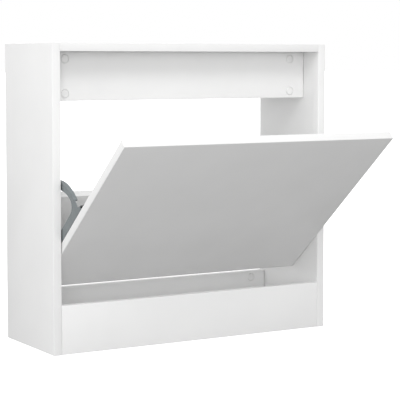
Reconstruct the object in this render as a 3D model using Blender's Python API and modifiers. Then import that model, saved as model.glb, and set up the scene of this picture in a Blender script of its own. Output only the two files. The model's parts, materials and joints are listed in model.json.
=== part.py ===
"""Shoe cabinet with one tilting flap.

Metres, +Z up, the front towards -Y.  The origin is on the floor, under the middle of the
cabinet's box with the flap tilted open, which is how the flap stands here.  Every piece of the
flap is measured from the pivot line, with the flap closed, and hangs on the empty flap_axis,
which lies on that line and is turned by the opening angle.
"""
import math

import bmesh
import bpy
from mathutils import Matrix, Vector

# Cabinet
WIDTH = 0.600
DEPTH = 0.214
HEIGHT = 0.570
BOARD = 0.015
SIDE_BOARD = 0.016
GAP = 0.0003
END_GAP = 0.0009
TOP_RAIL_HEIGHT = 0.0915
TOP_RAIL_SETBACK = 0.052
LOWER_RAIL_HEIGHT = 0.090
LOWER_RAIL_TOP = 0.0931
LOWER_RAIL_INSET = 0.004
PLINTH_TOP = 0.0912
PLINTH_BOTTOM = 0.0005

# Flap, measured with it closed
OPEN_ANGLE = math.radians(50.0)
PIVOT_SETBACK = 0.0229
PIVOT_HEIGHT = 0.1984
DOOR_BOARD = 0.016
DOOR_BOTTOM = 0.0945
DOOR_HEIGHT = 0.435
DOOR_SIDE_GAP = 0.0015

# Shelf boards behind the door, measured from the pivot line
SHELF_BOARD = 0.015
BACK_LEAN = math.radians(10.0)
BACK_LENGTH = 0.120
BACK_TOP_Y = 0.0921
BACK_TOP_Z = 0.0240
FLOOR_TOP = -0.0847
FLOOR_REAR = 0.0703

# Web and rim of the flap's side brackets, measured from the pivot line
RIM_CENTRE = (0.0154, 0.0117)
RIM_RADIUS = 0.103
RIM_THICKNESS = 0.0035
RIM_START = math.radians(4.2)
RIM_END = math.radians(60.0)
LIP_DEPTH = 0.0075
WEB_THICKNESS = 0.0022
WEB_RECESS = 0.0008
WEB_INSET = 0.0002
WEB_GROOVE = 0.0018
WEB_REAR_MARGIN = 0.0007
WEB_REAR_RISE = 0.003
HORN_REAR = 0.0034
HORN_FRONT_TOP = 0.1269
HORN_REAR_TOP = 0.1222
OPENING_CENTRE = (0.0118, 0.0236)
OPENING_RADIUS = 0.0802
OPENING_FRONT = 0.0128
OPENING_BOTTOM = -0.0787
OPENING_FILLET = 0.018
OPENING_REAR_FILLET = 0.012
OPENING_FOOT_FILLET = 0.008
OPENING_REAR_MARGIN = 0.0012

# Flange, ribs, boss and ear of the brackets
FLANGE_THICKNESS = 0.0025
FLANGE_INSET = 0.0066
FLANGE_DEPTH = 0.015
FLANGE_TOP = 0.1247
FLANGE_LIFT = 0.001
LEDGE_OVERLAP = 0.0005
LEDGE_STEP = 0.0005
RIB = 0.002
RIB_DEPTH = 0.0115
FRONT_RIB_CUT = 0.0107
REAR_RIB_OVERRUN = 0.004
BOSS_RADIUS = 0.008
BORE_RADIUS = 0.003
EAR_RADIUS = 0.004
EAR_THICKNESS = 0.0023
EAR_FOOT = 0.1202
PEG_RADIUS = 0.0011
PEG_ROOT = 0.001
PEG_END_GAP = 0.0005

# Buffers, stops and pivots
BUFFER_Y = -0.0026
BUFFER_Z = 0.1294
BUFFER_RADIUS = 0.0024
BUFFER_BORE = 0.0014
BUFFER_LENGTH = 0.006
BUFFER_CHAMFER = 0.0004
STOP_PIN_RADIUS = 0.003
STOP_PIN_LENGTH = 0.0075
STOP_TOOTH_RADIUS = 0.1342
STOP_TOOTH_END = math.radians(58.4)
PIVOT_ROOT_RADIUS = 0.004
PIVOT_PIN_RADIUS = 0.0027
PIVOT_PIN_LENGTH = 0.012
PIN_CHAMFER = 0.0008
COLLAR_RADIUS = 0.006
COLLAR_THICKNESS = 0.001
PIN_HOLE_DEPTH = 0.010

# Screws that hold a bracket to the door
SCREW_INSET = 0.011
SCREW_HEIGHTS = (-0.065, 0.045, 0.105)
SCREW_HEAD_RADIUS = 0.0035
SCREW_CROWN_RADIUS = 0.0022
SCREW_HEAD_EDGE = 0.0011
SCREW_HEAD_HEIGHT = 0.0023
SCREW_RADIUS = 0.0017
SCREW_LENGTH = 0.012
SCREW_TIP = 0.0018
SCREW_HOLE_RADIUS = 0.0021
PILOT_RADIUS = 0.002
PILOT_DEPTH = 0.0115

# Cam locks
CAM_RADIUS = 0.0075
CAM_BACKSET = 0.034
CAM_SPACING = 0.0135
CAM_POCKET_DEPTH = 0.0125
CAM_SUNK = 0.0028
CAM_SLOT_START = 0.0012
CAM_SLOT_END = 0.009
DRIVER_SLOT_LENGTH = 0.009
DRIVER_SLOT_WIDTH = 0.0014
TOP_CAM_SETBACK = 0.030
CAP_RADIUS = 0.0079
CAP_CROWN_RADIUS = 0.0062
CAP_PROUD = 0.0008
CAP_EDGE_PROUD = 0.0003
CAP_DEPTH = 0.0022
CAP_SEAT_RADIUS = 0.0086
CAP_SEAT_DEPTH = 0.0025
BOLT_RADIUS = 0.0036
BOLT_THREAD_RADIUS = 0.003
BOLT_NECK_RADIUS = 0.0022
BOLT_SHANK = 0.023
BOLT_NECK_END = 0.029
BOLT_END = 0.0325
BOLT_CLEARANCE = 0.0006

HALF_INSIDE = WIDTH / 2 - SIDE_BOARD
DOOR_HALF = HALF_INSIDE - DOOR_SIDE_GAP
DOOR_LOW = DOOR_BOTTOM - PIVOT_HEIGHT
DOOR_TOP = DOOR_LOW + DOOR_HEIGHT
DOOR_INNER = DOOR_BOARD - PIVOT_SETBACK
FOREMOST = (PIVOT_SETBACK - PIVOT_SETBACK * math.cos(OPEN_ANGLE)
            - DOOR_TOP * math.sin(OPEN_ANGLE))
FRONT_Y = -(DEPTH + FOREMOST) / 2
BACK_Y = FRONT_Y + DEPTH
UNDER_TOP = HEIGHT - BOARD
TOP_RAIL_TOP = UNDER_TOP - GAP
LOWER_RAIL_FRONT = BACK_Y - LOWER_RAIL_INSET - BOARD

WEB_FACE = DOOR_HALF - WEB_RECESS
WEB_BACK = WEB_FACE - WEB_THICKNESS
WEB_MIDDLE = WEB_FACE - WEB_THICKNESS / 2
WEB_FRONT = DOOR_INNER + WEB_GROOVE
WEB_TOP = RIM_CENTRE[1] + RIM_RADIUS - WEB_INSET
SHELF_HALF = WEB_BACK - GAP
FLANGE_FRONT = DOOR_INNER + GAP
FLANGE_REAR = FLANGE_FRONT + FLANGE_THICKNESS
FLANGE_EDGE = DOOR_HALF - FLANGE_INSET
RIB_INNER = DOOR_HALF - RIB_DEPTH - WEB_RECESS
SCREW_X = DOOR_HALF - SCREW_INSET
FLOOR_BOTTOM = FLOOR_TOP - SHELF_BOARD
BACK_UP = Vector((0.0, math.sin(BACK_LEAN), math.cos(BACK_LEAN)))
BACK_OUT = Vector((0.0, math.cos(BACK_LEAN), -math.sin(BACK_LEAN)))
BACK_CORNER = Vector((0.0, BACK_TOP_Y, BACK_TOP_Z))
STOP_PIN_ORBIT = math.hypot(BUFFER_Y, BUFFER_Z)
STOP_PIN_ANGLE = (math.atan2(BUFFER_Y, BUFFER_Z)
                  + (BUFFER_RADIUS + GAP + STOP_PIN_RADIUS) / STOP_PIN_ORBIT)
STOP_TOOTH_START = OPEN_ANGLE + STOP_PIN_ANGLE + (STOP_PIN_RADIUS + GAP) / STOP_PIN_ORBIT
STOP_TOOTH_ROOT = math.hypot(*RIM_CENTRE) + RIM_RADIUS - RIM_THICKNESS / 2

X_AXIS = Vector((1.0, 0.0, 0.0))
Y_AXIS = Vector((0.0, 1.0, 0.0))
Z_AXIS = Vector((0.0, 0.0, 1.0))
SIDES = (("left", -1), ("right", 1))


def make_material(name, colour, roughness, metallic=0.0):
    """Plain Principled material with one colour and finish."""
    material = bpy.data.materials.new(name)
    material.use_nodes = True
    shader = material.node_tree.nodes["Principled BSDF"]
    shader.inputs["Base Color"].default_value = (*colour, 1.0)
    shader.inputs["Roughness"].default_value = roughness
    shader.inputs["Metallic"].default_value = metallic
    return material


def add_object(name, mesh, material, location=(0, 0, 0), parent=None):
    """Put a mesh into the parts collection, or among the cutters if it has no material."""
    obj = bpy.data.objects.new(name, mesh)
    if material:
        mesh.materials.append(material)
        parts.objects.link(obj)
    else:
        cutters.objects.link(obj)
        obj.hide_render = True
        obj.display_type = "WIRE"
    obj.location = location
    obj.parent = parent
    return obj


def add_box(name, low, high, material, parent=None):
    """Box between two corners, with its origin at its middle."""
    low = Vector(low)
    high = Vector(high)
    mesh = bpy.data.meshes.new(name)
    bm = bmesh.new()
    bmesh.ops.create_cube(bm, size=1.0, matrix=Matrix.Diagonal((*(high - low), 1.0)))
    bm.to_mesh(mesh)
    bm.free()
    return add_object(name, mesh, material, (low + high) / 2, parent)


def add_rods(name, rods, parent=None):
    """One cutter made of plain round rods, each (start, end, radius, sides)."""
    mesh = bpy.data.meshes.new(name)
    bm = bmesh.new()
    for start, end, radius, sides in rods:
        run = Vector(end) - Vector(start)
        place = Matrix.Translation((Vector(start) + Vector(end)) / 2)
        turn = Z_AXIS.rotation_difference(run).to_matrix().to_4x4()
        bmesh.ops.create_cone(bm, cap_ends=True, segments=sides, radius1=radius,
                              radius2=radius, depth=run.length, matrix=place @ turn)
    bm.to_mesh(mesh)
    bm.free()
    return add_object(name, mesh, None, parent=parent)


def add_turned(name, profile, sides, material, location, direction, parent=None):
    """Turned piece: (radius, height) points from its top down, its height along direction.

    A profile that starts off the axis is closed into a ring.
    """
    mesh = bpy.data.meshes.new(name)
    edges = [(i, i + 1) for i in range(len(profile) - 1)]
    if profile[0][0] > 0:
        edges.append((len(profile) - 1, 0))
    mesh.from_pydata([(radius, 0, height) for radius, height in profile], edges, [])
    obj = add_object(name, mesh, material, location, parent)
    obj.rotation_euler = Z_AXIS.rotation_difference(direction).to_euler()
    screw = obj.modifiers.new("turn", "SCREW")
    screw.steps = sides
    screw.render_steps = sides
    screw.use_merge_vertices = True
    screw.merge_threshold = 0.00001
    screw.use_smooth_shade = True
    return obj


def boolean(target, operand, operation):
    """Cut target with operand, or join operand to it."""
    modifier = target.modifiers.new(operand.name, "BOOLEAN")
    modifier.operation = operation
    modifier.solver = "EXACT"
    modifier.object = operand


def drill(board, label, rods):
    """Cut rods out of a board: (start, end, radius, sides) in its parent's frame, none touching."""
    if rods:
        boolean(board, add_rods(f"{board.name}_{label}", rods, board.parent), "DIFFERENCE")


def arc(centre, radius, start, end, steps):
    """Points on an arc; angles run from straight up towards the back."""
    turns = [start + (end - start) * i / steps for i in range(steps + 1)]
    return [(centre[0] + radius * math.sin(a), centre[1] + radius * math.cos(a)) for a in turns]


def add_plate(name, outlines, side, inner, outer, material, parent):
    """Flat plate across X: closed outlines of (y, z) points; a second one is an opening."""
    curve = bpy.data.curves.new(name, "CURVE")
    curve.dimensions = "2D"
    curve.fill_mode = "BOTH"
    curve.extrude = (outer - inner) / 2
    for outline in outlines:
        spline = curve.splines.new("POLY")
        spline.points.add(len(outline) - 1)
        for point, (y, z) in zip(spline.points, outline):
            point.co = (y, z, 0, 1)
        spline.use_cyclic_u = True
    guide = bpy.data.objects.new(name + "_outline", curve)
    cutters.objects.link(guide)
    guide.parent = parent
    turn = Matrix(((0, 0, 1), (1, 0, 0), (0, 1, 0))).to_4x4()
    guide.matrix_basis = Matrix.Translation((side * (inner + outer) / 2, 0, 0)) @ turn
    bpy.context.view_layer.update()
    evaluated = guide.evaluated_get(bpy.context.evaluated_depsgraph_get())
    mesh = bpy.data.meshes.new_from_object(evaluated)
    bm = bmesh.new()
    bm.from_mesh(mesh)
    bmesh.ops.remove_doubles(bm, verts=bm.verts, dist=0.00001)
    bmesh.ops.recalc_face_normals(bm, faces=bm.faces)
    bm.to_mesh(mesh)
    bm.free()
    plate = add_object(name, mesh, material, parent=parent)
    plate.matrix_world = guide.matrix_world.copy()
    bpy.data.objects.remove(guide)
    return plate


def add_carcass():
    """The six boards that stand still."""
    boards = {}
    for label, side in SIDES:
        edges = sorted((side * HALF_INSIDE, side * WIDTH / 2))
        boards[label] = add_box("side_panel_" + label, (edges[0], FRONT_Y, 0),
                                (edges[1], BACK_Y, HEIGHT), foil)
    half = HALF_INSIDE - GAP
    boards["top"] = add_box("top_panel", (-half, FRONT_Y, UNDER_TOP), (half, BACK_Y, HEIGHT), foil)
    boards["plinth"] = add_box("plinth", (-half, FRONT_Y, PLINTH_BOTTOM),
                               (half, FRONT_Y + BOARD, PLINTH_TOP), foil)
    half = HALF_INSIDE - END_GAP
    rail_front = FRONT_Y + TOP_RAIL_SETBACK
    boards["top_rail"] = add_box("top_rail", (-half, rail_front, TOP_RAIL_TOP - TOP_RAIL_HEIGHT),
                                 (half, rail_front + BOARD, TOP_RAIL_TOP), foil)
    boards["lower_rail"] = add_box("lower_back_rail",
                                   (-half, LOWER_RAIL_FRONT, LOWER_RAIL_TOP - LOWER_RAIL_HEIGHT),
                                   (half, LOWER_RAIL_FRONT + BOARD, LOWER_RAIL_TOP), foil)
    return boards


def cam_mesh():
    """Zinc cam on Z, its face at the top, with a driver slot and a side slot towards +X."""
    length = CAM_POCKET_DEPTH - CAM_SUNK - GAP
    mesh = bpy.data.meshes.new("cam")
    bm = bmesh.new()
    bmesh.ops.create_cone(bm, cap_ends=True, segments=20, radius1=CAM_RADIUS,
                          radius2=CAM_RADIUS, depth=length,
                          matrix=Matrix.Translation((0, 0, -length / 2)))
    bm.to_mesh(mesh)
    bm.free()
    mesh.materials.append(zinc)
    return mesh


def add_cam_lock(name, board, cuts, side, face, into, capped):
    """Cam in a pocket, the bolt it pulls on, and a cover cap where the face is in view.

    face is the point on the board's face over the cam, and into points into the board.
    """
    out = X_AXIS * side
    axis = face + into * BOARD / 2
    end = HALF_INSIDE - abs(face.x)
    above = face - into * GAP
    cuts["pockets"][board].append((above, face + into * CAM_POCKET_DEPTH, CAM_RADIUS + GAP, 20))
    cuts["holes"][board].append((axis, axis + out * end, BOLT_RADIUS + BOLT_CLEARANCE, 12))
    panel = SIDES[side > 0][0]
    panel_face = axis + out * end
    cuts["holes"][panel].append((panel_face - out * GAP, panel_face + out * PIN_HOLE_DEPTH,
                                 BOLT_THREAD_RADIUS + GAP, 12))

    cam = bpy.data.objects.new(name + "_cam", cams)
    parts.objects.link(cam)
    turned = Matrix((out, (-into).cross(out), -into)).transposed().to_4x4()
    cam.matrix_world = Matrix.Translation(face + into * CAM_SUNK) @ turned
    boolean(cam, add_cam_slot(cam), "DIFFERENCE")
    boolean(cam, add_driver_slot(cam), "DIFFERENCE")

    thread = PIN_HOLE_DEPTH - 2 * GAP
    tip = BOLT_THREAD_RADIUS
    neck = BOLT_NECK_RADIUS
    profile = ((0, thread), (tip, thread), (tip, 0), (BOLT_RADIUS, -GAP),
               (BOLT_RADIUS, -BOLT_SHANK), (neck, -BOLT_SHANK), (neck, -BOLT_NECK_END),
               (tip, -BOLT_NECK_END), (tip, -BOLT_END), (0, -BOLT_END))
    add_turned(name + "_bolt", profile, 12, steel, panel_face, out)
    if capped:
        cuts["seats"][board].append((above, face + into * CAP_SEAT_DEPTH, CAP_SEAT_RADIUS, 24))
        profile = ((0, CAP_PROUD), (CAP_CROWN_RADIUS, CAP_PROUD), (CAP_RADIUS, CAP_EDGE_PROUD),
                   (CAP_RADIUS, -CAP_DEPTH), (0, -CAP_DEPTH))
        add_turned(name + "_cap", profile, 24, cap_plastic, face, -into)


def add_cam_slot(cam):
    """Slot in the cam's side that takes the bolt's head."""
    half = BOLT_THREAD_RADIUS + GAP
    slot = add_box(cam.name + "_side_slot", (CAM_SLOT_START, -half, -half),
                   (CAM_SLOT_END, half, half), None)
    middle = (CAM_SLOT_START + CAM_SLOT_END) / 2
    slot.matrix_world = cam.matrix_world @ Matrix.Translation((middle, 0, CAM_SUNK - BOARD / 2))
    return slot


def add_driver_slot(cam):
    """Slot across the cam's face for a screwdriver."""
    half = DRIVER_SLOT_WIDTH / 2
    slot = add_box(cam.name + "_driver_slot", (-DRIVER_SLOT_LENGTH / 2, -half, -half),
                   (DRIVER_SLOT_LENGTH / 2, half, half), None)
    slot.matrix_world = cam.matrix_world.copy()
    return slot


def add_fittings(boards):
    """Cam locks at the ends of the four cross boards, and every hole of the carcass."""
    cuts = {kind: {key: [] for key in boards} for kind in ("pockets", "seats", "holes")}
    rails = (("top_rail", TOP_RAIL_TOP, TOP_RAIL_HEIGHT, FRONT_Y + TOP_RAIL_SETBACK),
             ("lower_rail", LOWER_RAIL_TOP, LOWER_RAIL_HEIGHT, LOWER_RAIL_FRONT))
    for label, side in SIDES:
        x = side * (HALF_INSIDE - CAM_BACKSET)
        for rail, top, height, front in rails:
            for level, z in (("upper", top - CAM_SPACING), ("lower", top - height + CAM_SPACING)):
                add_cam_lock(f"{rail}_{level}_{label}", rail, cuts, side, Vector((x, front, z)),
                             Y_AXIS, True)
        for place, y in (("front", FRONT_Y + TOP_CAM_SETBACK), ("rear", BACK_Y - TOP_CAM_SETBACK)):
            add_cam_lock(f"top_panel_{place}_{label}", "top", cuts, side, Vector((x, y, UNDER_TOP)),
                         Z_AXIS, False)
        face = Vector((x, FRONT_Y + BOARD, (PLINTH_BOTTOM + PLINTH_TOP) / 2))
        add_cam_lock(f"plinth_{label}", "plinth", cuts, side, face, -Y_AXIS, False)
        add_side_pins(label, side, cuts["holes"])
    for key, board in boards.items():
        for kind, rods in cuts.items():
            drill(board, kind, rods[key])


def add_side_pins(label, side, holes):
    """Pivot pin and stop pin of one side panel."""
    out = X_AXIS * side
    root = PIN_HOLE_DEPTH - 2 * GAP
    pivot = Vector((side * HALF_INSIDE, FRONT_Y + PIVOT_SETBACK, PIVOT_HEIGHT))
    pin = PIVOT_PIN_RADIUS
    profile = ((0, root), (PIVOT_ROOT_RADIUS, root), (PIVOT_ROOT_RADIUS, -GAP),
               (COLLAR_RADIUS, -GAP), (COLLAR_RADIUS, -COLLAR_THICKNESS), (pin, -COLLAR_THICKNESS),
               (pin, PIN_CHAMFER - PIVOT_PIN_LENGTH), (pin - PIN_CHAMFER, -PIVOT_PIN_LENGTH),
               (0, -PIVOT_PIN_LENGTH))
    add_turned("pivot_pin_" + label, profile, 16, steel, pivot, out)
    holes[label].append((pivot - out * GAP, pivot + out * PIN_HOLE_DEPTH,
                         PIVOT_ROOT_RADIUS + GAP, 16))

    stop = pivot + Vector((0, math.sin(STOP_PIN_ANGLE), math.cos(STOP_PIN_ANGLE))) * STOP_PIN_ORBIT
    pin = STOP_PIN_RADIUS
    profile = ((0, root), (pin, root), (pin, PIN_CHAMFER - STOP_PIN_LENGTH),
               (pin - PIN_CHAMFER, -STOP_PIN_LENGTH), (0, -STOP_PIN_LENGTH))
    add_turned("stop_pin_" + label, profile, 16, steel, stop, out)
    holes[label].append((stop - out * GAP, stop + out * PIN_HOLE_DEPTH, STOP_PIN_RADIUS + GAP, 16))


def add_flap_boards(axis):
    """Door, compartment floor and compartment back."""
    door = add_box("flap_door", (-DOOR_HALF, -PIVOT_SETBACK, DOOR_LOW),
                   (DOOR_HALF, DOOR_INNER, DOOR_TOP), foil, axis)
    pilots = [((side * SCREW_X, DOOR_INNER + GAP, z), (side * SCREW_X, DOOR_INNER - PILOT_DEPTH, z),
               PILOT_RADIUS, 12)
              for _, side in SIDES for z in SCREW_HEIGHTS]
    drill(door, "pilots", pilots)
    add_box("compartment_floor_board", (-SHELF_HALF, FLANGE_FRONT, FLOOR_BOTTOM),
            (SHELF_HALF, FLOOR_REAR, FLOOR_TOP), shelf_board, axis)
    back = add_box("compartment_back_board", (-SHELF_HALF, -SHELF_BOARD / 2, -BACK_LENGTH / 2),
                   (SHELF_HALF, SHELF_BOARD / 2, BACK_LENGTH / 2), shelf_board, axis)
    back.location = BACK_CORNER - BACK_UP * BACK_LENGTH / 2 + BACK_OUT * SHELF_BOARD / 2
    back.rotation_euler = (-BACK_LEAN, 0, 0)


def web_outline():
    """Outer edge of a bracket's web, clockwise seen with the back on the right."""
    rear = BACK_CORNER + BACK_OUT * (SHELF_BOARD + GAP + RIB + WEB_REAR_MARGIN)
    rear_top = rear + BACK_UP * WEB_REAR_RISE
    bottom = FLOOR_BOTTOM - GAP - RIB + WEB_INSET
    rear_bottom_y = rear.y + (bottom - rear.z) * math.tan(BACK_LEAN)
    rim = arc(RIM_CENTRE, RIM_RADIUS - WEB_INSET, 0, RIM_END, 24)
    return [(WEB_FRONT, bottom), (WEB_FRONT, HORN_FRONT_TOP), (HORN_REAR, HORN_REAR_TOP),
            (HORN_REAR, WEB_TOP), *rim, (rear_top.y, rear_top.z), (rear_bottom_y, bottom)]


def opening_outline():
    """Edge of the opening in a bracket's web: straight sides, a round top, round corners."""
    centre = Vector((0.0, *OPENING_CENTRE))
    front_y = OPENING_FRONT + OPENING_FILLET - centre.y
    front_top = Vector((0.0, front_y,
                        math.sqrt((OPENING_RADIUS - OPENING_FILLET) ** 2 - front_y ** 2)))
    rear_face = BACK_CORNER - BACK_OUT * (GAP + RIB + OPENING_REAR_MARGIN)

    line = rear_face - BACK_OUT * OPENING_REAR_FILLET - centre
    along = line.dot(BACK_UP)
    orbit = OPENING_RADIUS - OPENING_REAR_FILLET
    rear_top = line + BACK_UP * (math.sqrt(along ** 2 + orbit ** 2 - line.length_squared) - along)

    line = rear_face - BACK_OUT * OPENING_FOOT_FILLET
    foot_z = OPENING_BOTTOM + OPENING_FOOT_FILLET
    rear_foot = line + BACK_UP * (foot_z - line.z) / BACK_UP.z

    quarter = math.pi / 2
    rear_side = quarter + BACK_LEAN
    front_meet = math.atan2(front_top.y, front_top.z)
    rear_meet = math.atan2(rear_top.y, rear_top.z)
    front_top += centre
    rear_top += centre
    foot = OPENING_FOOT_FILLET
    return [*arc(front_top.yz, OPENING_FILLET, -quarter, front_meet, 8),
            *arc(OPENING_CENTRE, OPENING_RADIUS, front_meet, rear_meet, 12)[1:-1],
            *arc(rear_top.yz, OPENING_REAR_FILLET, rear_meet, rear_side, 4),
            *arc(rear_foot.yz, foot, rear_side, 2 * quarter, 4),
            *arc((OPENING_FRONT + foot, foot_z), foot, 2 * quarter, 3 * quarter, 4)]


def add_bracket(label, side, axis):
    """Moulded bracket that carries one end of the flap."""
    name = "flap_bracket_" + label
    bracket = add_plate(name, [web_outline(), opening_outline()], side, WEB_BACK, WEB_FACE,
                        bracket_plastic, axis)

    def join_plate(part, outline, inner, outer):
        boolean(bracket, add_plate(f"{name}_{part}", [outline], side, inner, outer, None, axis),
                "UNION")

    def join_box(part, low, high, inner, outer):
        ends = sorted((side * inner, side * outer))
        box = add_box(f"{name}_{part}", (ends[0], *low), (ends[1], *high), None, axis)
        boolean(bracket, box, "UNION")
        return box

    def join_channel_side(part, offset, length):
        """Rib along the back board, its front face offset from the board's front face."""
        box = join_box(part, (-RIB / 2, -length / 2), (RIB / 2, length / 2), RIB_INNER, WEB_MIDDLE)
        middle = BACK_CORNER - BACK_UP * length / 2 + BACK_OUT * (offset + RIB / 2)
        box.location = (box.location.x, middle.y, middle.z)
        box.rotation_euler = (-BACK_LEAN, 0, 0)

    rim = (arc(RIM_CENTRE, RIM_RADIUS, RIM_START, RIM_END, 24)
           + arc(RIM_CENTRE, RIM_RADIUS - RIM_THICKNESS, RIM_END, RIM_START, 24))
    join_plate("rim", rim, DOOR_HALF - LIP_DEPTH, DOOR_HALF)
    tooth = (arc((0, 0), STOP_TOOTH_RADIUS, STOP_TOOTH_START, STOP_TOOTH_END, 4)
             + arc((0, 0), STOP_TOOTH_ROOT, STOP_TOOTH_END, STOP_TOOTH_START, 4))
    join_plate("stop_tooth", tooth, DOOR_HALF - LIP_DEPTH + GAP, DOOR_HALF - GAP)
    meet = math.acos(FLANGE_FRONT / BOSS_RADIUS) - math.pi / 2
    boss = arc((0, 0), BOSS_RADIUS, -meet + GAP, math.pi + meet - GAP, 16)
    join_plate("boss", boss, DOOR_HALF - RIB_DEPTH, FLANGE_EDGE)
    pad = arc((0, 0), BOSS_RADIUS - GAP, 0, math.pi, 16)
    join_plate("boss_pad", pad, FLANGE_EDGE - GAP, WEB_MIDDLE)

    flange_low = FLOOR_TOP + FLANGE_LIFT
    join_box("flange", (FLANGE_FRONT, flange_low), (FLANGE_REAR, FLANGE_TOP),
             DOOR_HALF - FLANGE_DEPTH, FLANGE_EDGE)
    join_box("ledge", (WEB_FRONT + WEB_INSET, flange_low + GAP),
             (FLANGE_REAR + LEDGE_STEP, FLANGE_TOP - GAP), FLANGE_EDGE - LEDGE_OVERLAP, WEB_MIDDLE)
    join_box("floor_upper_rib", (FLANGE_FRONT + GAP, FLOOR_TOP + GAP),
             (FLOOR_REAR - GAP, FLOOR_TOP + GAP + RIB), RIB_INNER, WEB_MIDDLE)
    join_box("floor_lower_rib", (FLANGE_FRONT + GAP, FLOOR_BOTTOM - GAP - RIB),
             (FLOOR_REAR + SHELF_BOARD + RIB, FLOOR_BOTTOM - GAP), RIB_INNER, WEB_MIDDLE)
    join_channel_side("back_front_rib", -GAP - RIB, BACK_LENGTH - FRONT_RIB_CUT)
    join_channel_side("back_rear_rib", SHELF_BOARD + GAP, BACK_LENGTH + REAR_RIB_OVERRUN)

    ear_face = DOOR_HALF - BUFFER_LENGTH - GAP
    ear = [*arc((BUFFER_Y, BUFFER_Z), EAR_RADIUS, -math.pi / 2, math.pi / 2, 12),
           (FLANGE_REAR, EAR_FOOT), (FLANGE_FRONT, EAR_FOOT)]
    join_plate("ear", ear, ear_face - EAR_THICKNESS, ear_face)
    peg = ((side * (ear_face - PEG_ROOT), BUFFER_Y, BUFFER_Z),
           (side * (DOOR_HALF - PEG_END_GAP), BUFFER_Y, BUFFER_Z), PEG_RADIUS, 12)
    boolean(bracket, add_rods(name + "_peg", [peg], axis), "UNION")

    bores = [((side * (RIB_INNER - GAP), 0, 0), (side * (DOOR_HALF + GAP), 0, 0), BORE_RADIUS, 20)]
    bores += [((side * SCREW_X, FLANGE_FRONT - GAP, z), (side * SCREW_X, FLANGE_REAR + GAP, z),
               SCREW_HOLE_RADIUS, 12) for z in SCREW_HEIGHTS]
    drill(bracket, "bores", bores)


def add_flap_fasteners(label, side, axis):
    """Screws that hold a bracket to the door, and the rubber sleeve on the bracket's peg."""
    for number, z in enumerate(SCREW_HEIGHTS, start=1):
        profile = ((0, SCREW_HEAD_HEIGHT), (SCREW_CROWN_RADIUS, SCREW_HEAD_HEIGHT - GAP),
                   (SCREW_HEAD_RADIUS, SCREW_HEAD_EDGE), (SCREW_HEAD_RADIUS, GAP),
                   (SCREW_RADIUS, GAP), (SCREW_RADIUS, -SCREW_LENGTH),
                   (0, -SCREW_LENGTH - SCREW_TIP))
        add_turned(f"bracket_screw_{label}_{number}", profile, 12, zinc,
                   (side * SCREW_X, FLANGE_REAR, z), Y_AXIS, axis)
    chamfer = BUFFER_CHAMFER
    profile = ((BUFFER_BORE, 0), (BUFFER_RADIUS - chamfer, 0), (BUFFER_RADIUS, -chamfer),
               (BUFFER_RADIUS, chamfer - BUFFER_LENGTH), (BUFFER_RADIUS - chamfer, -BUFFER_LENGTH),
               (BUFFER_BORE, -BUFFER_LENGTH))
    add_turned("flap_buffer_" + label, profile, 16, rubber, (side * DOOR_HALF, BUFFER_Y, BUFFER_Z),
               X_AXIS * side, axis)


for old in list(bpy.data.objects):
    bpy.data.objects.remove(old, do_unlink=True)

parts = bpy.data.collections.new("shoe_cabinet")
cutters = bpy.data.collections.new("cutters")
bpy.context.scene.collection.children.link(parts)
bpy.context.scene.collection.children.link(cutters)

foil = make_material("white_foil_chipboard", (0.86, 0.86, 0.85), 0.45)
shelf_board = make_material("light_grey_shelf_board", (0.62, 0.62, 0.61), 0.55)
bracket_plastic = make_material("grey_plastic", (0.21, 0.235, 0.245), 0.5)
cap_plastic = make_material("white_plastic", (0.80, 0.80, 0.79), 0.4)
rubber = make_material("black_rubber", (0.02, 0.02, 0.02), 0.8)
steel = make_material("steel", (0.56, 0.57, 0.58), 0.35, 1.0)
zinc = make_material("zinc", (0.66, 0.67, 0.69), 0.4, 1.0)

cams = cam_mesh()
add_fittings(add_carcass())
flap_axis = bpy.data.objects.new("flap_axis", None)
parts.objects.link(flap_axis)
flap_axis.location = (0, FRONT_Y + PIVOT_SETBACK, PIVOT_HEIGHT)
flap_axis.rotation_euler = (OPEN_ANGLE, 0, 0)
bpy.context.view_layer.update()
add_flap_boards(flap_axis)
for side_label, side_sign in SIDES:
    add_bracket(side_label, side_sign, flap_axis)
    add_flap_fasteners(side_label, side_sign, flap_axis)
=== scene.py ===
"""Looks of the shoe cabinet: its boards, fittings, brackets, materials, light and camera.

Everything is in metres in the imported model's frame.  The flap stands open at rest.  Its pieces are
built as they lie with the flap closed, from the pivot line, and FLAP turns them into place.
"""
import json
import math

import bmesh
import bpy
from mathutils import Matrix, Vector

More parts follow.
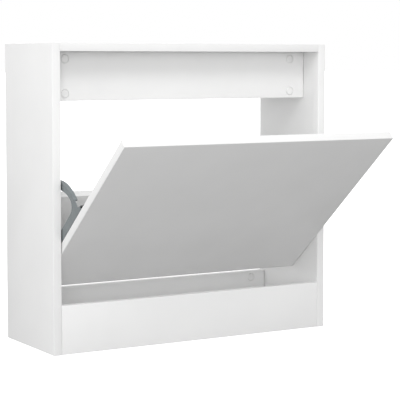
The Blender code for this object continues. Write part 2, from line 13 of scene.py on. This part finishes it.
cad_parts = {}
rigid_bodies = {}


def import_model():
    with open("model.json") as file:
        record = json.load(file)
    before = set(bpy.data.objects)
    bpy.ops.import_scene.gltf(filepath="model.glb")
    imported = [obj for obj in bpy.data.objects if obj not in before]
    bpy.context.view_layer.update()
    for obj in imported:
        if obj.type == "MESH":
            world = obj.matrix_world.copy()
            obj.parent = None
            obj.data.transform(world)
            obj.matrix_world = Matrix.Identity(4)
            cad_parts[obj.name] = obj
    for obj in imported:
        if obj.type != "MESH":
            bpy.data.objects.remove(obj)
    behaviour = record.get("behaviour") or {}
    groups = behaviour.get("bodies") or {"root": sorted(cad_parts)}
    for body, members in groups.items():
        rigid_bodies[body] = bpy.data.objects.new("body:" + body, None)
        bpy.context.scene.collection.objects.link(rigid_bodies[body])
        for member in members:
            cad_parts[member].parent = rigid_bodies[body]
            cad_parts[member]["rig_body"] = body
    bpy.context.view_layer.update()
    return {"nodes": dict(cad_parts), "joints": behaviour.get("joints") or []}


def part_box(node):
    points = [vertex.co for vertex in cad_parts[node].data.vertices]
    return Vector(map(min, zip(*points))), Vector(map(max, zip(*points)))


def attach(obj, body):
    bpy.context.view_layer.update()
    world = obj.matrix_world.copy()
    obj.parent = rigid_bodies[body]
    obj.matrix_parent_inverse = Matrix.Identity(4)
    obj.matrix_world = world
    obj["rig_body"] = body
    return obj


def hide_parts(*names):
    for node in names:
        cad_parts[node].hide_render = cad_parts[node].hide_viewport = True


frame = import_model()

MM = 0.001
EDGE_ROUND = 0.7 * MM
MOULDED_EDGE_ROUND = 0.35 * MM
WELD_DISTANCE = 0.01 * MM
SHARP_ANGLE = math.radians(35)
BACK_LEAN = math.radians(10)

hinge = frame["joints"][0]
FLAP = (Matrix.Translation(hinge["pos_m"])
        @ Matrix.Rotation(-math.radians(hinge["range_deg"][1]), 4, Vector(hinge["axis"])))
BACK_BOARD = FLAP @ Matrix.Rotation(-BACK_LEAN, 4, "X")
STILL = Matrix.Identity(4)
X_AXIS, Y_AXIS, Z_AXIS = Matrix.Identity(3)
SIDES = (("left", -1), ("right", 1))

CAM_SUNK = 2.8 * MM
CAM_LENGTH = 9.4 * MM
CAM_POCKET_RADIUS = 7.8 * MM
CAM_POCKET_SPARE = 0.3 * MM
CAM_SLOT_DEPTH = 4.7 * MM
CAM_SLOT_START = 1.2 * MM
CAM_SLOT_END = 9 * MM
CAM_SLOT_HALF = 3.3 * MM
CAM_RECESS = (9 * MM, 1.5 * MM, 1.6 * MM)
CAP_SEAT_DEPTH = 2.5 * MM
CAP_SEAT_RADIUS = 8.35 * MM
SCREW_RECESS = (4.2 * MM, 0.9 * MM, 1.5 * MM)
PIVOT_HOLE_RADIUS = 4.3 * MM
HOLE_CLEARANCE = 0.4 * MM
HOLE_REACH = 0.5 * MM
POCKET_OVERCUT = 0.4 * MM
SEAT_OVERCUT = 0.5 * MM

# Prefix of its fittings, node, direction into the face its cams are in, whether caps cover them
CROSS_BOARDS = (("top_rail", "top_rail", Y_AXIS, True),
                ("lower_rail", "lower_back_rail", Y_AXIS, True),
                ("top_panel", "top_panel", Z_AXIS, False),
                ("plinth", "plinth", -Y_AXIS, False))


# ---------------------------------------------------------------- materials

def node_material(name, roughness, metallic=0.0):
    """Principled material, with its node tree and its shader."""
    material = bpy.data.materials.new(name)
    material.use_nodes = True
    tree = material.node_tree
    shader = tree.nodes["Principled BSDF"]
    shader.inputs["Roughness"].default_value = roughness
    shader.inputs["Metallic"].default_value = metallic
    return material, tree, shader


def add_node(tree, kind, links=(), **values):
    """A node with its settings, its input values and links of (input name, output socket)."""
    node = tree.nodes.new("ShaderNode" + kind)
    for key, value in values.items():
        if hasattr(node, key):
            setattr(node, key, value)
        else:
            node.inputs[key.replace("_", " ")].default_value = value
    for key, socket in links:
        tree.links.new(socket, node.inputs[key])
    return node


def add_noise(tree, scale, detail, stretch=(1, 1, 1)):
    """Noise in the piece's own coordinates; scale is in waves per metre."""
    place = add_node(tree, "TexCoord")
    mapped = add_node(tree, "Mapping", [("Vector", place.outputs["Object"])], Scale=stretch)
    return add_node(tree, "TexNoise", [("Vector", mapped.outputs["Vector"])], Scale=scale,
                    Detail=detail)


def vary(tree, noise, low, high):
    """The noise's middle stretch spread over low to high."""
    spread = add_node(tree, "MapRange", [("Value", noise.outputs["Fac"])], From_Min=0.35,
                      From_Max=0.65, To_Min=low, To_Max=high)
    return spread.outputs["Result"]


def vary_colour(tree, shader, noise, dark, light):
    """Base colour between two close tones, spread by noise."""
    factor = vary(tree, noise, 0.0, 1.0)
    mix = add_node(tree, "Mix", data_type="RGBA")
    tree.links.new(factor, mix.inputs["Factor"])
    for socket in mix.inputs:
        if socket.type == "RGBA":
            socket.default_value = (*(dark if socket.name == "A" else light), 1)
    colour = next(s for s in mix.outputs if s.type == "RGBA")
    tree.links.new(colour, shader.inputs["Base Color"])


def add_bump(tree, shader, height, strength, distance):
    """Bump from a height socket."""
    bump = add_node(tree, "Bump", [("Height", height)], Strength=strength, Distance=distance)
    tree.links.new(bump.outputs["Normal"], shader.inputs["Normal"])
    return bump


def board_material(name, dark, light, roughness):
    """Foil on chipboard: faint cloudiness, fine pearl embossing and slightly uneven gloss."""
    material, tree, shader = node_material(name, roughness)
    vary_colour(tree, shader, add_noise(tree, 9, 4), dark, light)
    tree.links.new(vary(tree, add_noise(tree, 26, 4), roughness - 0.05, roughness + 0.05),
                   shader.inputs["Roughness"])
    pearl = add_noise(tree, 1500, 2)
    ripple = add_noise(tree, 120, 2)
    first = add_bump(tree, shader, ripple.outputs["Fac"], 0.05, 0.15 * MM)
    second = add_bump(tree, shader, pearl.outputs["Fac"], 0.12, 0.05 * MM)
    tree.links.new(first.outputs["Normal"], second.inputs["Normal"])
    shader.inputs["Specular IOR Level"].default_value = 0.35
    return material


def plastic_material(name, dark, light, roughness, grain=0.15):
    """Moulded plastic with a fine spark-eroded grain."""
    material, tree, shader = node_material(name, roughness)
    vary_colour(tree, shader, add_noise(tree, 60, 5), dark, light)
    tree.links.new(vary(tree, add_noise(tree, 300, 3), roughness - 0.05, roughness + 0.06),
                   shader.inputs["Roughness"])
    add_bump(tree, shader, add_noise(tree, 2600, 2).outputs["Fac"], grain, 0.06 * MM)
    return material


def metal_material(name, dark, light, roughness, stretch):
    """Plated metal with fine machining marks."""
    material, tree, shader = node_material(name, roughness, 1.0)
    vary_colour(tree, shader, add_noise(tree, 180, 4), dark, light)
    marks = add_noise(tree, 900, 3, stretch)
    tree.links.new(vary(tree, marks, roughness - 0.08, roughness + 0.1),
                   shader.inputs["Roughness"])
    add_bump(tree, shader, marks.outputs["Fac"], 0.2, 0.03 * MM)
    return material


WHITE_FOIL = board_material("white_foil", (0.845, 0.845, 0.842), (0.865, 0.865, 0.862), 0.42)
WHITE_BAND = board_material("white_edge_band", (0.850, 0.850, 0.847), (0.872, 0.872, 0.870), 0.36)
SHELF_FOIL = board_material("shelf_foil", (0.83, 0.83, 0.827), (0.85, 0.85, 0.847), 0.5)
GREY_PLASTIC = plastic_material("grey_moulded_plastic", (0.190, 0.212, 0.220),
                                (0.212, 0.236, 0.244), 0.45)
CAP_PLASTIC = plastic_material("white_cap_plastic", (0.80, 0.80, 0.795), (0.83, 0.83, 0.825), 0.34,
                               0.05)
RUBBER = plastic_material("black_rubber", (0.012, 0.012, 0.012), (0.024, 0.024, 0.024), 0.75, 0.4)
STEEL = metal_material("zinc_plated_steel", (0.52, 0.53, 0.54), (0.62, 0.63, 0.65), 0.32,
                       (1, 1, 12))
ZINC = metal_material("die_cast_zinc", (0.55, 0.56, 0.58), (0.68, 0.69, 0.71), 0.42, (1, 1, 1))


# ---------------------------------------------------------------- shapes

def box_in(node, place):
    """Lowest and highest corner of a CAD node in the frame that place turns into the world."""
    back = place.inverted()
    points = [back @ vertex.co for vertex in frame["nodes"][node].data.vertices]
    low = Vector([min(p[i] for p in points) for i in range(3)])
    high = Vector([max(p[i] for p in points) for i in range(3)])
    return low, high


def smooth(mesh):
    """The mesh shaded smooth but for its sharp edges."""
    mesh.shade_smooth()
    mesh.set_sharp_from_angle(angle=SHARP_ANGLE)
    return mesh


def plain_mesh(name, bm):
    """Mesh from a bmesh, which is freed."""
    mesh = bpy.data.meshes.new(name)
    bm.to_mesh(mesh)
    bm.free()
    return mesh


def finish_mesh(name, bm, materials):
    """Smooth mesh with its materials from a bmesh."""
    mesh = plain_mesh(name, bm)
    for material in materials:
        mesh.materials.append(material)
    return smooth(mesh)


def add_piece(name, mesh, place, node):
    """A visible piece in place of a CAD node, on that node's body."""
    piece = bpy.data.objects.new(name, mesh)
    bpy.context.scene.collection.objects.link(piece)
    piece.matrix_world = place
    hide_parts(node)
    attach(piece, frame["nodes"][node]["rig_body"])
    return piece


def rounded_box(size):
    """Box centred on the origin with rounded edges."""
    bm = bmesh.new()
    bmesh.ops.create_cube(bm, size=1.0, matrix=Matrix.Diagonal((*size, 1.0)))
    bmesh.ops.bevel(bm, geom=bm.edges[:], offset=EDGE_ROUND, segments=3, profile=0.5,
                    affect="EDGES", clamp_overlap=True)
    return bm


def rod_mesh(name, rods):
    """Closed rods, each (start, end, radius), as one cutter; none of them touch."""
    bm = bmesh.new()
    for start, end, radius in rods:
        run = end - start
        turn = Z_AXIS.rotation_difference(run).to_matrix().to_4x4()
        bmesh.ops.create_cone(bm, cap_ends=True, segments=32, radius1=radius, radius2=radius,
                              depth=run.length,
                              matrix=Matrix.Translation((start + end) / 2) @ turn)
    return plain_mesh(name, bm)


def cut_away(mesh, place, cutters):
    """Mesh less the cutters, each (mesh, place); places are in the world."""
    target = bpy.data.objects.new("target", mesh)
    bpy.context.scene.collection.objects.link(target)
    target.matrix_world = place
    tools = []
    for cutter, cutter_place in cutters:
        tool = bpy.data.objects.new("tool", cutter)
        bpy.context.scene.collection.objects.link(tool)
        tool.matrix_world = cutter_place
        tools.append(tool)
        modifier = target.modifiers.new("boolean", "BOOLEAN")
        modifier.operation = "DIFFERENCE"
        modifier.solver = "EXACT"
        modifier.object = tool
    bpy.context.view_layer.update()
    evaluated = target.evaluated_get(bpy.context.evaluated_depsgraph_get())
    made = bpy.data.meshes.new_from_object(evaluated)
    for obj in (target, *tools):
        bpy.data.objects.remove(obj)
    return made


def lathe(name, profile, segments, material):
    """Turned mesh round Z from (radius, depth) points in mm, its outer end at the origin.

    A profile that starts off the axis is closed into a ring.
    """
    bm = bmesh.new()
    chain = [bm.verts.new((radius * MM, 0, -depth * MM)) for radius, depth in profile]
    ends = zip(chain, chain[1:] + chain[:1] if profile[0][0] else chain[1:])
    edges = [bm.edges.new(pair) for pair in ends]
    bmesh.ops.spin(bm, geom=chain + edges, cent=(0, 0, 0), axis=Z_AXIS, angle=2 * math.pi,
                   steps=segments, use_merge=True)
    bmesh.ops.remove_doubles(bm, verts=bm.verts[:], dist=0.001 * MM)
    bmesh.ops.recalc_face_normals(bm, faces=bm.faces[:])
    return finish_mesh(name, bm, [material])


def box_mesh(name, low, high):
    """Plain box as a cutter."""
    low, high = Vector(low), Vector(high)
    bm = bmesh.new()
    middle = Matrix.Translation((low + high) / 2)
    bmesh.ops.create_cube(bm, size=1.0, matrix=middle @ Matrix.Diagonal((*(high - low), 1.0)))
    return plain_mesh(name, bm)


def recess_meshes(length, width, depth):
    """The two cutters of a cross recess round the origin, depth below it."""
    a, b = length / 2, width / 2
    return (box_mesh("recess", (-a, -b, -depth), (a, b, MM)),
            box_mesh("recess", (-b, -a, -depth), (b, a, MM)))


# ---------------------------------------------------------------- boards

def holes_for(nodes):
    """Rods that clear fittings which lie along X, a little wider and longer than they are."""
    rods = []
    for node in nodes:
        low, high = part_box(node)
        middle = (low + high) / 2
        size = high - low
        half = X_AXIS * (size.x / 2 + HOLE_REACH)
        rods.append((middle - half, middle + half, max(size.yz) / 2 + HOLE_CLEARANCE))
    return rods


def add_board(node, foil, band, place=STILL, cuts=()):
    """Foil-faced board with rounded edges and edge bands, cut by groups of rods."""
    low, high = box_in(node, place)
    size = high - low
    bm = rounded_box(size)
    thin = min(range(3), key=lambda i: size[i])
    for face in bm.faces:
        face.material_index = 0 if abs(face.normal[thin]) > 0.99 else 1
    mesh = finish_mesh(node, bm, [foil, band])
    middle = place @ Matrix.Translation((low + high) / 2)
    if cuts:
        tools = [(rod_mesh(f"{node}_cut", rods), STILL) for rods in cuts if rods]
        mesh = smooth(cut_away(mesh, middle, tools))
    return add_piece(node + "_foil", mesh, middle, node)


def named(prefix, ending):
    """Names of the CAD nodes that start and end so."""
    return sorted(n for n in frame["nodes"] if n.startswith(prefix) and n.endswith(ending))


def cam_faces(prefix, into):
    """Middle of the face of each of a board's cams, by node."""
    faces = {}
    for node in named(prefix, "_cam"):
        low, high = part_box(node)
        faces[node] = (low + high) / 2 - into * abs((high - low).dot(into)) / 2
    return faces


def cam_pockets(prefix, into):
    """Pockets for a board's cams, from outside its face to just behind them."""
    return [(face - into * (CAM_SUNK + POCKET_OVERCUT),
             face + into * (CAM_LENGTH + CAM_POCKET_SPARE), CAM_POCKET_RADIUS)
            for face in cam_faces(prefix, into).values()]


def cap_seats(prefix, into):
    """Shallow wider mouths of the pockets, round the caps."""
    return [(face - into * (CAM_SUNK + SEAT_OVERCUT), face - into * (CAM_SUNK - CAP_SEAT_DEPTH),
             CAP_SEAT_RADIUS)
            for face in cam_faces(prefix, into).values()]


def add_boards():
    """The nine boards."""
    for prefix, node, into, capped in CROSS_BOARDS:
        channels = holes_for(named(prefix, "_bolt"))
        seats = cap_seats(prefix, into) if capped else ()
        add_board(node, WHITE_FOIL, WHITE_BAND,
                  cuts=(cam_pockets(prefix, into), seats, channels))
    for label, _ in SIDES:
        fittings = holes_for([*named("", f"_{label}_bolt"), f"stop_pin_{label}"])
        low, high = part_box(f"pivot_pin_{label}")
        middle = (low + high) / 2
        half = X_AXIS * (high.x - low.x) / 2
        fittings.append((middle - half, middle + half, PIVOT_HOLE_RADIUS))
        add_board(f"side_panel_{label}", WHITE_FOIL, WHITE_BAND, cuts=(fittings,))
    add_board("flap_door", WHITE_FOIL, WHITE_BAND, FLAP)
    add_board("compartment_floor_board", SHELF_FOIL, SHELF_FOIL, FLAP)
    add_board("compartment_back_board", SHELF_FOIL, SHELF_FOIL, BACK_BOARD)


# ---------------------------------------------------------------- fittings

# Turned profiles in mm: distance from the axis, depth below the outer end
CAP = ((0, 0), (3, 0.03), (5, 0.12), (6.6, 0.32), (7.4, 0.55), (7.8, 0.9), (7.9, 1.3), (7.9, 2.8),
       (7.7, 3.0), (0, 3.0))
CAM = ((0, 0), (7.2, 0), (7.5, 0.3), (7.5, 9.1), (7.2, 9.4), (0, 9.4))
PIVOT_PIN = ((0, 0), (3.8, 0), (4, 0.2), (4, 9.6), (5.7, 9.6), (6, 9.8), (6, 10.2), (5.8, 10.4),
             (2.7, 10.4), (2.7, 20.6), (2.4, 21.1), (1.9, 21.4), (0, 21.4))
STOP_PIN = ((0, 0), (3, 0), (3, 16), (2.75, 16.5), (2.2, 16.9), (0, 16.9))
SCREW_HEAD = ((0, 0), (1.2, 0.06), (2.2, 0.3), (3.0, 0.8), (3.4, 1.3), (3.5, 1.8), (3.5, 2.0),
              (1.2, 2.0), (1.2, 2.6))
SLEEVE = ((1.4, 0), (2.0, 0), (2.3, 0.12), (2.4, 0.4), (2.4, 5.6), (2.3, 5.88), (2.0, 6), (1.4, 6))


def thread(start, end, pitch, root, crest):
    """Profile of a thread from start to end."""
    points = []
    for i in range(int((end - start) / pitch)):
        points += [(root, start + i * pitch), (crest, start + (i + 0.5) * pitch)]
    return tuple(points)


BOLT = ((0, 0), (2.3, 0), *thread(0.5, 9.3, 1.25, 2.45, 3.0), (2.6, 9.4), (3.4, 9.7), (3.6, 9.9),
        (3.6, 32.2), (3.4, 32.4), (2.2, 32.4), (2.2, 38.4), (2.7, 38.4), (3.0, 38.8), (3.0, 41.5),
        (2.6, 41.9), (0, 41.9))
SCREW_SHANK = (*thread(2.8, 14.4, 1.4, 1.2, 1.7), (1.1, 14.6), (0, 16.1))


def add_turned(node, mesh, out, place=STILL):
    """Turned piece in place of a node, its outer end towards out."""
    low, high = box_in(node, place)
    end = (low + high) / 2 + out * abs((high - low).dot(out)) / 2
    turn = Z_AXIS.rotation_difference(out).to_matrix().to_4x4()
    return add_piece(node + "_turned", mesh, place @ Matrix.Translation(end) @ turn, node)


def cut_mesh(mesh, cutters):
    """Mesh with shapes in its own frame cut out of it."""
    return smooth(cut_away(mesh, STILL, [(cutter, STILL) for cutter in cutters]))


def add_fittings():
    """Cams, bolts, caps, pins, screws and sleeves."""
    cap = lathe("cap", CAP, 64, CAP_PLASTIC)
    bolt = lathe("bolt", BOLT, 32, STEEL)
    side_slot = box_mesh("slot", (CAM_SLOT_START, -CAM_SLOT_HALF, -CAM_SLOT_DEPTH - CAM_SLOT_HALF),
                         (CAM_SLOT_END, CAM_SLOT_HALF, -CAM_SLOT_DEPTH + CAM_SLOT_HALF))
    cam = cut_mesh(lathe("cam", CAM, 48, ZINC), (side_slot, *recess_meshes(*CAM_RECESS)))
    for prefix, _, into, capped in CROSS_BOARDS:
        for node, face in cam_faces(prefix, into).items():
            out = X_AXIS if face.x > 0 else -X_AXIS
            turn = Matrix((out, (-into).cross(out), -into)).transposed().to_4x4()
            add_piece(node + "_cast", cam, Matrix.Translation(face) @ turn, node)
        for node in named(prefix, "_bolt"):
            side = 1 if "right" in node else -1
            add_turned(node, bolt, X_AXIS * side)
        if capped:
            for node in named(prefix, "_cap"):
                add_turned(node, cap, -into)
    pivot = lathe("pivot_pin", PIVOT_PIN, 32, STEEL)
    stop = lathe("stop_pin", STOP_PIN, 32, STEEL)
    sleeve = lathe("sleeve", SLEEVE, 32, RUBBER)
    screw = cut_mesh(lathe("screw", SCREW_HEAD + SCREW_SHANK, 32, ZINC),
                     recess_meshes(*SCREW_RECESS))
    for label, side in SIDES:
        add_turned(f"pivot_pin_{label}", pivot, X_AXIS * side)
        add_turned(f"stop_pin_{label}", stop, X_AXIS * side)
        add_turned(f"flap_buffer_{label}", sleeve, X_AXIS * side, FLAP)
        for node in named(f"bracket_screw_{label}", ""):
            add_turned(node, screw, Y_AXIS, FLAP)


def finish_brackets():
    """Grained plastic and slightly rounded edges on the two moulded brackets."""
    for label, _ in SIDES:
        bracket = frame["nodes"][f"flap_bracket_{label}"]
        for slot in bracket.material_slots:
            slot.material = GREY_PLASTIC
        weld = bracket.modifiers.new("weld", "WELD")
        weld.merge_threshold = WELD_DISTANCE
        bevel = bracket.modifiers.new("rounded_edges", "BEVEL")
        bevel.width = MOULDED_EDGE_ROUND
        bevel.segments = 2
        bevel.limit_method = "ANGLE"
        bevel.angle_limit = math.radians(40)
        bevel.use_clamp_overlap = True


add_boards()
add_fittings()
finish_brackets()


# ---------------------------------------------------------------- stage, light and camera

FLOOR_HALF = 60
FLOOR_DROP = 0.5 * MM
CABINET_MIDDLE = Vector((0, 0, 0.3))

CAMERA_PLACE = (-1.4199, -2.4010, 0.5381)
CAMERA_YAW = math.radians(30.593)
CAMERA_PITCH = math.radians(4.024)
CAMERA_LENS = 132.39
CAMERA_SHIFT = -0.09
SENSOR_WIDTH = 36

# Strength of the surroundings below the horizon, at it and above it, and the sines of the
# elevations between which each runs into the next
WORLD = (0.378, 1.0, 0.82)
BELOW_HORIZON = (-0.06, -0.03)
ABOVE_HORIZON = (0.06, 0.18)

LIGHT_DISTANCE = 6.0
LIGHT_SIZE = 1.8
# Name, degrees round from the front to the left, degrees up, watts
LIGHTS = (("key", 30, 42, 60),
          ("front_left", 30, 8, 76),
          ("left", 90, 8, 63),
          ("front", 0, 42, 26),
          ("rear", 180, 25, 14),
          ("above_rear", 180, 58, 36))


def add_floor():
    """Wide white floor that neither lights nor shades the cabinet."""
    bm = bmesh.new()
    bmesh.ops.create_grid(bm, x_segments=1, y_segments=1, size=FLOOR_HALF)
    mesh = plain_mesh("floor", bm)
    floor = bpy.data.objects.new("floor", mesh)
    bpy.context.scene.collection.objects.link(floor)
    floor.location.z = -FLOOR_DROP
    material, _, shader = node_material("pale_floor", 0.9)
    shader.inputs["Base Color"].default_value = (0.8, 0.8, 0.8, 1)
    shader.inputs["Emission Color"].default_value = (1, 1, 1, 1)
    shader.inputs["Emission Strength"].default_value = 1.0
    mesh.materials.append(material)
    floor.visible_diffuse = False
    floor.visible_glossy = False
    floor.visible_shadow = False


def add_world(ground, horizon, sky):
    """Soft light all round, its strengths below the horizon, at it and above it."""
    world = bpy.data.worlds.new("studio")
    bpy.context.scene.world = world
    world.use_nodes = True
    tree = world.node_tree
    place = add_node(tree, "TexCoord")
    split = add_node(tree, "SeparateXYZ", [("Vector", place.outputs["Generated"])])
    low, high = BELOW_HORIZON
    rise = add_node(tree, "MapRange", [("Value", split.outputs["Z"])], From_Min=low,
                    From_Max=high, To_Min=ground, To_Max=horizon)
    low, high = ABOVE_HORIZON
    climb = add_node(tree, "MapRange", [("Value", split.outputs["Z"])], From_Min=low,
                     From_Max=high, To_Min=0.0, To_Max=sky - horizon)
    total = add_node(tree, "Math", operation="ADD")
    tree.links.new(rise.outputs["Result"], total.inputs[0])
    tree.links.new(climb.outputs["Result"], total.inputs[1])
    background = tree.nodes["Background"]
    tree.links.new(total.outputs["Value"], background.inputs["Strength"])
    background.inputs["Color"].default_value = (1, 1, 1, 1)


def add_area(name, around, up, power):
    """Square soft light on the cabinet's middle, so many degrees round from the front and up."""
    data = bpy.data.lights.new(name, "AREA")
    data.shape = "SQUARE"
    data.size = LIGHT_SIZE
    data.energy = power
    lamp = bpy.data.objects.new(name, data)
    bpy.context.scene.collection.objects.link(lamp)
    around, up = math.radians(around), math.radians(up)
    towards = Vector((-math.sin(around) * math.cos(up), -math.cos(around) * math.cos(up),
                      math.sin(up)))
    lamp.location = CABINET_MIDDLE + towards * LIGHT_DISTANCE
    lamp.rotation_euler = towards.to_track_quat("Z", "Y").to_euler()


def add_camera():
    """Long lens from the front left, a little below the height of the cabinet's top."""
    data = bpy.data.cameras.new("camera")
    data.lens = CAMERA_LENS
    data.sensor_width = SENSOR_WIDTH
    data.shift_y = CAMERA_SHIFT
    camera = bpy.data.objects.new("camera", data)
    bpy.context.scene.collection.objects.link(camera)
    camera.location = CAMERA_PLACE
    camera.rotation_euler = (math.pi / 2 - CAMERA_PITCH, 0, -CAMERA_YAW)
    bpy.context.scene.camera = camera


add_floor()
add_world(*WORLD)
for light in LIGHTS:
    add_area(*light)
add_camera()
bpy.context.scene.view_settings.view_transform = "Standard"
